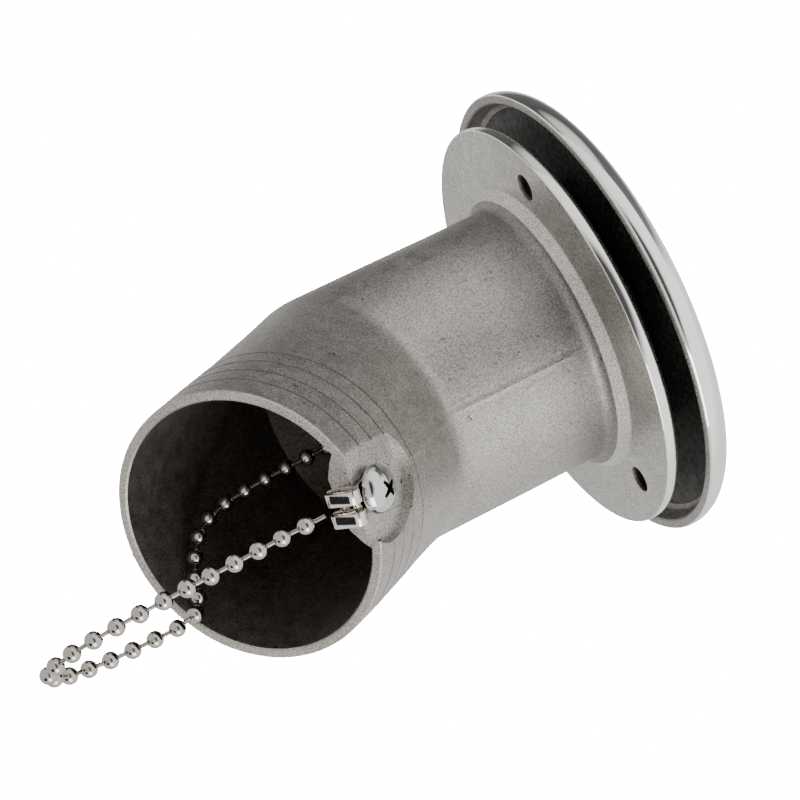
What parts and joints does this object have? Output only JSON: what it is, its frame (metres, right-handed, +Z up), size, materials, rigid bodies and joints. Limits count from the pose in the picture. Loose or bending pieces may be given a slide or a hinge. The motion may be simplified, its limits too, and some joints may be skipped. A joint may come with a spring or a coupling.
{
  "type": "deck fill cap",
  "caption": "Angled deck filler: round flange and 45 degree hose neck, a wide screw cap with a fold-down handle, and a ball chain that keeps the cap.",
  "frame": {"origin": "centre of the flange's flat underside, where it sits on the deck over the cut-out", "axes": "+Z up out of the deck along the cap's axis, +X the way the hose spigot bends below the deck, +Y completes the right-handed frame"},
  "size_m": [0.1008, 0.094, 0.1334],
  "materials": {
    "blasted_steel": "bead-blasted satin casting with a polished flange edge",
    "polished_steel": "mirror polished",
    "nickel": "bright nickel plate",
    "black_rubber": "matt black"
  },
  "bodies": {
    "filler": {"filler_body": "blasted_steel", "spigot_chain_clip": "nickel", "chain_screw": "polished_steel", "ball_chain": "nickel"},
    "chain_swivel": {"cap_chain_clip": "nickel"},
    "cap": {"cap_body": "polished_steel", "cap_seal": "black_rubber", "handle_pin_left": "polished_steel", "handle_pin_right": "polished_steel", "cap_chain_screw": "polished_steel"},
    "handle": {"flip_handle": "polished_steel"}
  },
  "joints": [
    {"name": "cap_travel", "type": "slide", "parent": "filler", "child": "chain_swivel", "axis": [0, 0, 1], "range_m": [-0.00601, 0.00441], "deforming": ["ball_chain"]},
    {"name": "cap_turn", "type": "hinge", "parent": "chain_swivel", "child": "cap", "pos_m": [0, 0, 0.0076], "axis": [0, 0, 1], "range_deg": [-1080, 792]},
    {"name": "handle_fold", "type": "hinge", "parent": "cap", "child": "handle", "pos_m": [0, 0, 0.013], "axis": [0, -1, 0], "range_deg": [0, 95]}
  ],
  "couplings": [
    {"joint": "cap_travel", "follows": "cap_turn", "m_per_rad": 0.00031831}
  ]
}
